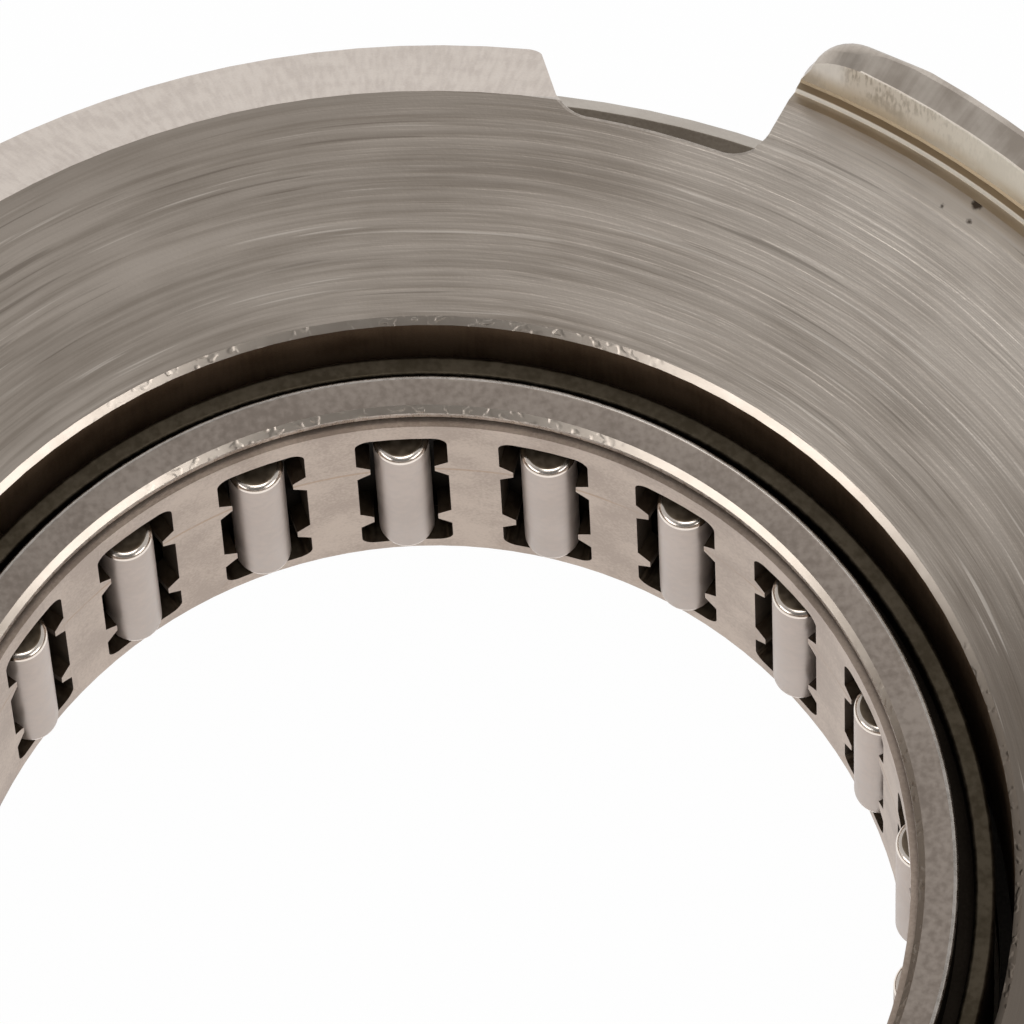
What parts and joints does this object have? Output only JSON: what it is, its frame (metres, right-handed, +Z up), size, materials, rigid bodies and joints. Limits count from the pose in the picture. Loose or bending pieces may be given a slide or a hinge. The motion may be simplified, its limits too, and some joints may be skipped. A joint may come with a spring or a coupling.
{
  "type": "thrust bearing",
  "caption": "Combined bearing: a lugged thrust plate turns on radial rollers over an L-section race, around a drawn-cup needle bearing that carries the shaft.",
  "frame": {"origin": "on the shaft axis, in the plane that the lower race rests on", "axes": "+Z up the shaft axis, from the lower race to the turned face of the thrust plate; +X and +Y in the race's plane"},
  "size_m": [0.1042, 0.1042, 0.024],
  "materials": {
    "turned_steel": "fine lathe-turned face, ground bevels, straw heat tint at the lips",
    "race_steel": "dull hardened steel",
    "cup_steel": "smooth drawn steel, satin",
    "cage_steel": "matt warm steel",
    "thrust_cage_steel": "pressed steel, satin",
    "roller_steel": "ground and polished"
  },
  "bodies": {
    "lower_side": {"lower_race": "race_steel", "needle_cup": "cup_steel"},
    "plate": {"thrust_plate": "turned_steel"},
    "roller_set": {"thrust_cage": "thrust_cage_steel"},
    "needle_set": {"needle_cage": "cage_steel"},
    "thrust_roller_01": {"thrust_roller_01": "roller_steel"},
    "thrust_roller_02": {"thrust_roller_02": "roller_steel"},
    "thrust_roller_03": {"thrust_roller_03": "roller_steel"},
    "thrust_roller_04": {"thrust_roller_04": "roller_steel"},
    "thrust_roller_05": {"thrust_roller_05": "roller_steel"},
    "thrust_roller_06": {"thrust_roller_06": "roller_steel"},
    "thrust_roller_07": {"thrust_roller_07": "roller_steel"},
    "thrust_roller_08": {"thrust_roller_08": "roller_steel"},
    "thrust_roller_09": {"thrust_roller_09": "roller_steel"},
    "thrust_roller_10": {"thrust_roller_10": "roller_steel"},
    "thrust_roller_11": {"thrust_roller_11": "roller_steel"},
    "thrust_roller_12": {"thrust_roller_12": "roller_steel"},
    "thrust_roller_13": {"thrust_roller_13": "roller_steel"},
    "thrust_roller_14": {"thrust_roller_14": "roller_steel"},
    "thrust_roller_15": {"thrust_roller_15": "roller_steel"},
    "thrust_roller_16": {"thrust_roller_16": "roller_steel"},
    "thrust_roller_17": {"thrust_roller_17": "roller_steel"},
    "thrust_roller_18": {"thrust_roller_18": "roller_steel"},
    "needle_01": {"needle_01": "roller_steel"},
    "needle_02": {"needle_02": "roller_steel"},
    "needle_03": {"needle_03": "roller_steel"},
    "needle_04": {"needle_04": "roller_steel"},
    "needle_05": {"needle_05": "roller_steel"},
    "needle_06": {"needle_06": "roller_steel"},
    "needle_07": {"needle_07": "roller_steel"},
    "needle_08": {"needle_08": "roller_steel"},
    "needle_09": {"needle_09": "roller_steel"},
    "needle_10": {"needle_10": "roller_steel"},
    "needle_11": {"needle_11": "roller_steel"},
    "needle_12": {"needle_12": "roller_steel"},
    "needle_13": {"needle_13": "roller_steel"},
    "needle_14": {"needle_14": "roller_steel"},
    "needle_15": {"needle_15": "roller_steel"},
    "needle_16": {"needle_16": "roller_steel"},
    "needle_17": {"needle_17": "roller_steel"},
    "needle_18": {"needle_18": "roller_steel"},
    "needle_19": {"needle_19": "roller_steel"},
    "needle_20": {"needle_20": "roller_steel"},
    "needle_21": {"needle_21": "roller_steel"}
  },
  "joints": [
    {"name": "plate_spin", "type": "hinge", "parent": "lower_side", "child": "plate", "pos_m": [0, 0, 0.02], "axis": [0, 0, 1], "continuous": true},
    {"name": "roller_set_spin", "type": "hinge", "parent": "lower_side", "child": "roller_set", "pos_m": [0, 0, 0.00453], "axis": [0, 0, 1], "continuous": true},
    {"name": "needle_set_spin", "type": "hinge", "parent": "lower_side", "child": "needle_set", "pos_m": [0, 0, 0.01], "axis": [0, 0, 1], "continuous": true},
    {"name": "thrust_roller_01_spin", "type": "hinge", "parent": "roller_set", "child": "thrust_roller_01", "pos_m": [0.041, 0, 0.00453], "axis": [1, 0, 0], "continuous": true},
    {"name": "thrust_roller_02_spin", "type": "hinge", "parent": "roller_set", "child": "thrust_roller_02", "pos_m": [0.03853, 0.01402, 0.00453], "axis": [0.9397, 0.342, 0], "continuous": true},
    {"name": "thrust_roller_03_spin", "type": "hinge", "parent": "roller_set", "child": "thrust_roller_03", "pos_m": [0.03141, 0.02635, 0.00453], "axis": [0.766, 0.6428, 0], "continuous": true},
    {"name": "thrust_roller_04_spin", "type": "hinge", "parent": "roller_set", "child": "thrust_roller_04", "pos_m": [0.0205, 0.03551, 0.00453], "axis": [0.5, 0.866, 0], "continuous": true},
    {"name": "thrust_roller_05_spin", "type": "hinge", "parent": "roller_set", "child": "thrust_roller_05", "pos_m": [0.00712, 0.04038, 0.00453], "axis": [0.1736, 0.9848, 0], "continuous": true},
    {"name": "thrust_roller_06_spin", "type": "hinge", "parent": "roller_set", "child": "thrust_roller_06", "pos_m": [-0.00712, 0.04038, 0.00453], "axis": [-0.1736, 0.9848, 0], "continuous": true},
    {"name": "thrust_roller_07_spin", "type": "hinge", "parent": "roller_set", "child": "thrust_roller_07", "pos_m": [-0.0205, 0.03551, 0.00453], "axis": [-0.5, 0.866, 0], "continuous": true},
    {"name": "thrust_roller_08_spin", "type": "hinge", "parent": "roller_set", "child": "thrust_roller_08", "pos_m": [-0.03141, 0.02635, 0.00453], "axis": [-0.766, 0.6428, 0], "continuous": true},
    {"name": "thrust_roller_09_spin", "type": "hinge", "parent": "roller_set", "child": "thrust_roller_09", "pos_m": [-0.03853, 0.01402, 0.00453], "axis": [-0.9397, 0.342, 0], "continuous": true},
    {"name": "thrust_roller_10_spin", "type": "hinge", "parent": "roller_set", "child": "thrust_roller_10", "pos_m": [-0.041, 0, 0.00453], "axis": [-1, 0, 0], "continuous": true},
    {"name": "thrust_roller_11_spin", "type": "hinge", "parent": "roller_set", "child": "thrust_roller_11", "pos_m": [-0.03853, -0.01402, 0.00453], "axis": [-0.9397, -0.342, 0], "continuous": true},
    {"name": "thrust_roller_12_spin", "type": "hinge", "parent": "roller_set", "child": "thrust_roller_12", "pos_m": [-0.03141, -0.02635, 0.00453], "axis": [-0.766, -0.6428, 0], "continuous": true},
    {"name": "thrust_roller_13_spin", "type": "hinge", "parent": "roller_set", "child": "thrust_roller_13", "pos_m": [-0.0205, -0.03551, 0.00453], "axis": [-0.5, -0.866, 0], "continuous": true},
    {"name": "thrust_roller_14_spin", "type": "hinge", "parent": "roller_set", "child": "thrust_roller_14", "pos_m": [-0.00712, -0.04038, 0.00453], "axis": [-0.1736, -0.9848, 0], "continuous": true},
    {"name": "thrust_roller_15_spin", "type": "hinge", "parent": "roller_set", "child": "thrust_roller_15", "pos_m": [0.00712, -0.04038, 0.00453], "axis": [0.1736, -0.9848, 0], "continuous": true},
    {"name": "thrust_roller_16_spin", "type": "hinge", "parent": "roller_set", "child": "thrust_roller_16", "pos_m": [0.0205, -0.03551, 0.00453], "axis": [0.5, -0.866, 0], "continuous": true},
    {"name": "thrust_roller_17_spin", "type": "hinge", "parent": "roller_set", "child": "thrust_roller_17", "pos_m": [0.03141, -0.02635, 0.00453], "axis": [0.766, -0.6428, 0], "continuous": true},
    {"name": "thrust_roller_18_spin", "type": "hinge", "parent": "roller_set", "child": "thrust_roller_18", "pos_m": [0.03853, -0.01402, 0.00453], "axis": [0.9397, -0.342, 0], "continuous": true},
    {"name": "needle_01_spin", "type": "hinge", "parent": "needle_set", "child": "needle_01", "pos_m": [-0.01478, 0.022, 0.01], "axis": [0, 0, 1], "continuous": true},
    {"name": "needle_02_spin", "type": "hinge", "parent": "needle_set", "child": "needle_02", "pos_m": [-0.00764, 0.02538, 0.01], "axis": [0, 0, 1], "continuous": true},
    {"name": "needle_03_spin", "type": "hinge", "parent": "needle_set", "child": "needle_03", "pos_m": [0.00018, 0.0265, 0.01], "axis": [0, 0, 1], "continuous": true},
    {"name": "needle_04_spin", "type": "hinge", "parent": "needle_set", "child": "needle_04", "pos_m": [0.00798, 0.02527, 0.01], "axis": [0, 0, 1], "continuous": true},
    {"name": "needle_05_spin", "type": "hinge", "parent": "needle_set", "child": "needle_05", "pos_m": [0.01507, 0.02179, 0.01], "axis": [0, 0, 1], "continuous": true},
    {"name": "needle_06_spin", "type": "hinge", "parent": "needle_set", "child": "needle_06", "pos_m": [0.02083, 0.01638, 0.01], "axis": [0, 0, 1], "continuous": true},
    {"name": "needle_07_spin", "type": "hinge", "parent": "needle_set", "child": "needle_07", "pos_m": [0.02473, 0.00951, 0.01], "axis": [0, 0, 1], "continuous": true},
    {"name": "needle_08_spin", "type": "hinge", "parent": "needle_set", "child": "needle_08", "pos_m": [0.02644, 0.0018, 0.01], "axis": [0, 0, 1], "continuous": true},
    {"name": "needle_09_spin", "type": "hinge", "parent": "needle_set", "child": "needle_09", "pos_m": [0.02579, -0.00607, 0.01], "axis": [0, 0, 1], "continuous": true},
    {"name": "needle_10_spin", "type": "hinge", "parent": "needle_set", "child": "needle_10", "pos_m": [0.02286, -0.0134, 0.01], "axis": [0, 0, 1], "continuous": true},
    {"name": "needle_11_spin", "type": "hinge", "parent": "needle_set", "child": "needle_11", "pos_m": [0.01789, -0.01955, 0.01], "axis": [0, 0, 1], "continuous": true},
    {"name": "needle_12_spin", "type": "hinge", "parent": "needle_set", "child": "needle_12", "pos_m": [0.01134, -0.02395, 0.01], "axis": [0, 0, 1], "continuous": true},
    {"name": "needle_13_spin", "type": "hinge", "parent": "needle_set", "child": "needle_13", "pos_m": [0.00377, -0.02623, 0.01], "axis": [0, 0, 1], "continuous": true},
    {"name": "needle_14_spin", "type": "hinge", "parent": "needle_set", "child": "needle_14", "pos_m": [-0.00413, -0.02618, 0.01], "axis": [0, 0, 1], "continuous": true},
    {"name": "needle_15_spin", "type": "hinge", "parent": "needle_set", "child": "needle_15", "pos_m": [-0.01166, -0.0238, 0.01], "axis": [0, 0, 1], "continuous": true},
    {"name": "needle_16_spin", "type": "hinge", "parent": "needle_set", "child": "needle_16", "pos_m": [-0.01816, -0.0193, 0.01], "axis": [0, 0, 1], "continuous": true},
    {"name": "needle_17_spin", "type": "hinge", "parent": "needle_set", "child": "needle_17", "pos_m": [-0.02304, -0.0131, 0.01], "axis": [0, 0, 1], "continuous": true},
    {"name": "needle_18_spin", "type": "hinge", "parent": "needle_set", "child": "needle_18", "pos_m": [-0.02587, -0.00572, 0.01], "axis": [0, 0, 1], "continuous": true},
    {"name": "needle_19_spin", "type": "hinge", "parent": "needle_set", "child": "needle_19", "pos_m": [-0.02641, 0.00216, 0.01], "axis": [0, 0, 1], "continuous": true},
    {"name": "needle_20_spin", "type": "hinge", "parent": "needle_set", "child": "needle_20", "pos_m": [-0.0246, 0.00985, 0.01], "axis": [0, 0, 1], "continuous": true},
    {"name": "needle_21_spin", "type": "hinge", "parent": "needle_set", "child": "needle_21", "pos_m": [-0.02061, 0.01666, 0.01], "axis": [0, 0, 1], "continuous": true}
  ],
  "couplings": [
    {"joint": "roller_set_spin", "follows": "plate_spin", "ratio": 0.5},
    {"joint": "thrust_roller_01_spin", "follows": "plate_spin", "ratio": -10.25},
    {"joint": "thrust_roller_02_spin", "follows": "plate_spin", "ratio": -10.25},
    {"joint": "thrust_roller_03_spin", "follows": "plate_spin", "ratio": -10.25},
    {"joint": "thrust_roller_04_spin", "follows": "plate_spin", "ratio": -10.25},
    {"joint": "thrust_roller_05_spin", "follows": "plate_spin", "ratio": -10.25},
    {"joint": "thrust_roller_06_spin", "follows": "plate_spin", "ratio": -10.25},
    {"joint": "thrust_roller_07_spin", "follows": "plate_spin", "ratio": -10.25},
    {"joint": "thrust_roller_08_spin", "follows": "plate_spin", "ratio": -10.25},
    {"joint": "thrust_roller_09_spin", "follows": "plate_spin", "ratio": -10.25},
    {"joint": "thrust_roller_10_spin", "follows": "plate_spin", "ratio": -10.25},
    {"joint": "thrust_roller_11_spin", "follows": "plate_spin", "ratio": -10.25},
    {"joint": "thrust_roller_12_spin", "follows": "plate_spin", "ratio": -10.25},
    {"joint": "thrust_roller_13_spin", "follows": "plate_spin", "ratio": -10.25},
    {"joint": "thrust_roller_14_spin", "follows": "plate_spin", "ratio": -10.25},
    {"joint": "thrust_roller_15_spin", "follows": "plate_spin", "ratio": -10.25},
    {"joint": "thrust_roller_16_spin", "follows": "plate_spin", "ratio": -10.25},
    {"joint": "thrust_roller_17_spin", "follows": "plate_spin", "ratio": -10.25},
    {"joint": "thrust_roller_18_spin", "follows": "plate_spin", "ratio": -10.25},
    {"joint": "needle_01_spin", "follows": "needle_set_spin", "ratio": -18.667},
    {"joint": "needle_02_spin", "follows": "needle_set_spin", "ratio": -18.667},
    {"joint": "needle_03_spin", "follows": "needle_set_spin", "ratio": -18.667},
    {"joint": "needle_04_spin", "follows": "needle_set_spin", "ratio": -18.667},
    {"joint": "needle_05_spin", "follows": "needle_set_spin", "ratio": -18.667},
    {"joint": "needle_06_spin", "follows": "needle_set_spin", "ratio": -18.667},
    {"joint": "needle_07_spin", "follows": "needle_set_spin", "ratio": -18.667},
    {"joint": "needle_08_spin", "follows": "needle_set_spin", "ratio": -18.667},
    {"joint": "needle_09_spin", "follows": "needle_set_spin", "ratio": -18.667},
    {"joint": "needle_10_spin", "follows": "needle_set_spin", "ratio": -18.667},
    {"joint": "needle_11_spin", "follows": "needle_set_spin", "ratio": -18.667},
    {"joint": "needle_12_spin", "follows": "needle_set_spin", "ratio": -18.667},
    {"joint": "needle_13_spin", "follows": "needle_set_spin", "ratio": -18.667},
    {"joint": "needle_14_spin", "follows": "needle_set_spin", "ratio": -18.667},
    {"joint": "needle_15_spin", "follows": "needle_set_spin", "ratio": -18.667},
    {"joint": "needle_16_spin", "follows": "needle_set_spin", "ratio": -18.667},
    {"joint": "needle_17_spin", "follows": "needle_set_spin", "ratio": -18.667},
    {"joint": "needle_18_spin", "follows": "needle_set_spin", "ratio": -18.667},
    {"joint": "needle_19_spin", "follows": "needle_set_spin", "ratio": -18.667},
    {"joint": "needle_20_spin", "follows": "needle_set_spin", "ratio": -18.667},
    {"joint": "needle_21_spin", "follows": "needle_set_spin", "ratio": -18.667}
  ]
}
